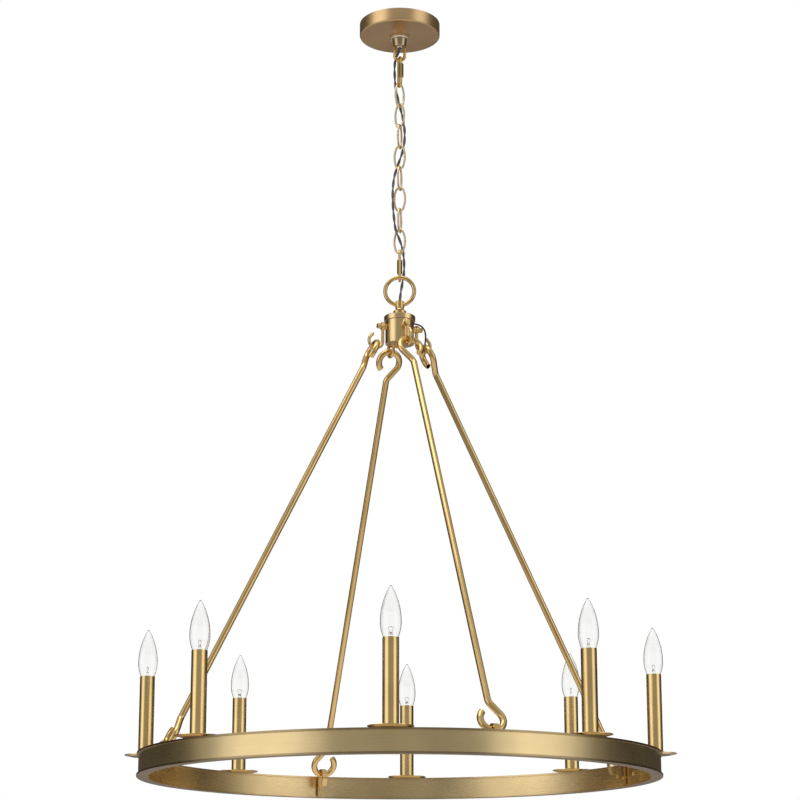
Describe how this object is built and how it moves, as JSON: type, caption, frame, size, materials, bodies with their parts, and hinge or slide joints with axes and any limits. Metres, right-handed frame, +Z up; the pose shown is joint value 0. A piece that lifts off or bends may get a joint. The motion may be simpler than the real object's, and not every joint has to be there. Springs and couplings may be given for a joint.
{
  "type": "wagon wheel chandelier",
  "caption": "Wide metal ring with candle lamps, hung by hooked rods from a round hub, a chain and a flat ceiling canopy.",
  "frame": {"origin": "on the ceiling plane, at the centre between the mounting strap's two screw slots", "axes": "+Z up; X along the mounting strap, through both slots; the side seen in the picture faces -Y"},
  "size_m": [0.8116, 0.8114, 1.1925],
  "materials": {
    "strap_steel": "zinc plated",
    "ground_screw": "green",
    "plated_steel": "nickel plated",
    "canopy_brass": "satin",
    "loop_brass": "satin",
    "chain_brass": "satin",
    "hub_brass": "satin",
    "rod_brass": "satin",
    "ring_brass": "satin",
    "candle_brass": "satin",
    "stem_steel": "zinc plated",
    "socket_plastic": "moulded",
    "bulb_glass": "clear",
    "bulb_base": "plain",
    "cord_cover": "smooth",
    "lead_cover": "smooth"
  },
  "bodies": {
    "ceiling_fixing": {"mounting_strap": "strap_steel", "ground_screw": "ground_screw", "threaded_nipple": "plated_steel", "strap_nut": "plated_steel", "canopy_loop": "loop_brass"},
    "canopy": {"canopy": "canopy_brass"},
    "collar": {"screw_collar": "canopy_brass"},
    "upper_quick_link": {"quick_link_upper": "chain_brass"},
    "upper_quick_nut": {"quick_link_upper_nut": "chain_brass"},
    "chain_link_1": {"chain_link_1": "chain_brass"},
    "chain_link_2": {"chain_link_2": "chain_brass"},
    "chain_link_3": {"chain_link_3": "chain_brass"},
    "chain_link_4": {"chain_link_4": "chain_brass"},
    "chain_link_5": {"chain_link_5": "chain_brass"},
    "chain_link_6": {"chain_link_6": "chain_brass"},
    "chain_link_7": {"chain_link_7": "chain_brass"},
    "chain_link_8": {"chain_link_8": "chain_brass"},
    "lower_quick_link": {"quick_link_lower": "chain_brass"},
    "lower_quick_nut": {"quick_link_lower_nut": "chain_brass"},
    "hub": {"hub_loop": "loop_brass", "hub_lid": "hub_brass", "hub_shell": "hub_brass", "hub_base_plate": "hub_brass", "hub_tie_bolt": "hub_brass", "hub_studs": "hub_brass", "hub_hooks": "hub_brass", "supply_cord": "cord_cover", "feed_lead": "lead_cover"},
    "rod_front_right": {"rod_front_right": "rod_brass"},
    "rod_back_right": {"rod_back_right": "rod_brass"},
    "rod_back_left": {"rod_back_left": "rod_brass"},
    "rod_front_left": {"rod_front_left": "rod_brass"},
    "wheel": {"ring_top_flange": "ring_brass", "ring_bottom_flange": "ring_brass", "ring_outer_band": "ring_brass", "ring_inner_band": "ring_brass", "ring_hangers": "ring_brass", "wheel_screws": "ring_brass", "wiring_cover": "ring_brass", "candle_pans": "candle_brass", "candle_stems": "stem_steel", "stem_nuts": "stem_steel", "lamp_sockets": "socket_plastic", "candle_sleeves": "candle_brass"},
    "bulb_1": {"bulb_glass_1": "bulb_glass", "bulb_base_1": "bulb_base"},
    "bulb_2": {"bulb_glass_2": "bulb_glass", "bulb_base_2": "bulb_base"},
    "bulb_3": {"bulb_glass_3": "bulb_glass", "bulb_base_3": "bulb_base"},
    "bulb_4": {"bulb_glass_4": "bulb_glass", "bulb_base_4": "bulb_base"},
    "bulb_5": {"bulb_glass_5": "bulb_glass", "bulb_base_5": "bulb_base"},
    "bulb_6": {"bulb_glass_6": "bulb_glass", "bulb_base_6": "bulb_base"},
    "bulb_7": {"bulb_glass_7": "bulb_glass", "bulb_base_7": "bulb_base"},
    "bulb_8": {"bulb_glass_8": "bulb_glass", "bulb_base_8": "bulb_base"}
  },
  "joints": [
    {"name": "canopy_drop", "type": "slide", "parent": "ceiling_fixing", "child": "canopy", "axis": [0, 0, -1], "range_m": [0, 0.04]},
    {"name": "collar_turn", "type": "hinge", "parent": "canopy", "child": "collar", "pos_m": [0, 0, -0.023], "axis": [0, 0, 1], "continuous": true},
    {"name": "upper_quick_link_swing", "type": "hinge", "parent": "ceiling_fixing", "child": "upper_quick_link", "pos_m": [0, 0, -0.061], "axis": [1, 0, 0], "range_deg": [-15, 15], "deforming": ["supply_cord"]},
    {"name": "chain_link_1_swing", "type": "hinge", "parent": "upper_quick_link", "child": "chain_link_1", "pos_m": [0, 0, -0.1047], "axis": [-0.342, 0.9397, 0], "range_deg": [-15, 15]},
    {"name": "chain_link_2_swing", "type": "hinge", "parent": "chain_link_1", "child": "chain_link_2", "pos_m": [0, 0, -0.1391], "axis": [0.7314, 0.682, 0], "range_deg": [-15, 15]},
    {"name": "chain_link_3_swing", "type": "hinge", "parent": "chain_link_2", "child": "chain_link_3", "pos_m": [0, 0, -0.1739], "axis": [0.7986, -0.6018, 0], "range_deg": [-15, 15]},
    {"name": "chain_link_4_swing", "type": "hinge", "parent": "chain_link_3", "child": "chain_link_4", "pos_m": [0, 0, -0.2087], "axis": [0.2924, 0.9563, 0], "range_deg": [-15, 15]},
    {"name": "chain_link_5_swing", "type": "hinge", "parent": "chain_link_4", "child": "chain_link_5", "pos_m": [0, 0, -0.2435], "axis": [0.9397, -0.342, 0], "range_deg": [-15, 15]},
    {"name": "chain_link_6_swing", "type": "hinge", "parent": "chain_link_5", "child": "chain_link_6", "pos_m": [0, 0, -0.2783], "axis": [0.2924, 0.9563, 0], "range_deg": [-15, 15]},
    {"name": "chain_link_7_swing", "type": "hinge", "parent": "chain_link_6", "child": "chain_link_7", "pos_m": [0, 0, -0.3131], "axis": [0.9781, -0.2079, 0], "range_deg": [-15, 15]},
    {"name": "chain_link_8_swing", "type": "hinge", "parent": "chain_link_7", "child": "chain_link_8", "pos_m": [0, 0, -0.3479], "axis": [0.2419, 0.9703, 0], "range_deg": [-15, 15]},
    {"name": "lower_quick_link_swing", "type": "hinge", "parent": "chain_link_8", "child": "lower_quick_link", "pos_m": [0, 0, -0.3827], "axis": [0.9613, -0.2756, 0], "range_deg": [-15, 15]},
    {"name": "hub_swing", "type": "hinge", "parent": "lower_quick_link", "child": "hub", "pos_m": [0, 0, -0.4273], "axis": [-0.0523, 0.9986, 0], "range_deg": [-15, 15]},
    {"name": "upper_quick_nut_turn", "type": "hinge", "parent": "upper_quick_link", "child": "upper_quick_nut", "pos_m": [0.00222, -0.00611, -0.08045], "axis": [0, 0, 1], "continuous": true},
    {"name": "lower_quick_nut_turn", "type": "hinge", "parent": "lower_quick_link", "child": "lower_quick_nut", "pos_m": [-0.00034, 0.00649, -0.40305], "axis": [0, 0, 1], "continuous": true},
    {"name": "wheel_sway", "type": "hinge", "parent": "hub", "child": "wheel", "pos_m": [0, 0, -0.45366], "axis": [-0.3827, 0.9239, 0], "range_deg": [-5, 5]},
    {"name": "rod_front_right_tilt", "type": "hinge", "parent": "hub", "child": "rod_front_right", "pos_m": [0.01489, -0.03594, -0.53125], "axis": [-0.3827, 0.9239, 0], "range_deg": [-6, 6]},
    {"name": "rod_back_right_tilt", "type": "hinge", "parent": "hub", "child": "rod_back_right", "pos_m": [0.03594, 0.01489, -0.53125], "axis": [-0.3827, 0.9239, 0], "range_deg": [-6, 6], "deforming": ["feed_lead"]},
    {"name": "rod_back_left_tilt", "type": "hinge", "parent": "hub", "child": "rod_back_left", "pos_m": [-0.01489, 0.03594, -0.53125], "axis": [-0.3827, 0.9239, 0], "range_deg": [-6, 6]},
    {"name": "rod_front_left_tilt", "type": "hinge", "parent": "hub", "child": "rod_front_left", "pos_m": [-0.03594, -0.01489, -0.53125], "axis": [-0.3827, 0.9239, 0], "range_deg": [-6, 6]},
    {"name": "bulb_1_lift", "type": "slide", "parent": "wheel", "child": "bulb_1", "axis": [0, 0, 1], "range_m": [0, 0.025]},
    {"name": "bulb_2_lift", "type": "slide", "parent": "wheel", "child": "bulb_2", "axis": [0, 0, 1], "range_m": [0, 0.025]},
    {"name": "bulb_3_lift", "type": "slide", "parent": "wheel", "child": "bulb_3", "axis": [0, 0, 1], "range_m": [0, 0.025]},
    {"name": "bulb_4_lift", "type": "slide", "parent": "wheel", "child": "bulb_4", "axis": [0, 0, 1], "range_m": [0, 0.025]},
    {"name": "bulb_5_lift", "type": "slide", "parent": "wheel", "child": "bulb_5", "axis": [0, 0, 1], "range_m": [0, 0.025]},
    {"name": "bulb_6_lift", "type": "slide", "parent": "wheel", "child": "bulb_6", "axis": [0, 0, 1], "range_m": [0, 0.025]},
    {"name": "bulb_7_lift", "type": "slide", "parent": "wheel", "child": "bulb_7", "axis": [0, 0, 1], "range_m": [0, 0.025]},
    {"name": "bulb_8_lift", "type": "slide", "parent": "wheel", "child": "bulb_8", "axis": [0, 0, 1], "range_m": [0, 0.025]}
  ],
  "couplings": [
    {"joint": "rod_front_right_tilt", "follows": "wheel_sway", "ratio": 1.124},
    {"joint": "rod_back_right_tilt", "follows": "wheel_sway", "ratio": 1.124},
    {"joint": "rod_back_left_tilt", "follows": "wheel_sway", "ratio": 1.124},
    {"joint": "rod_front_left_tilt", "follows": "wheel_sway", "ratio": 1.124}
  ]
}
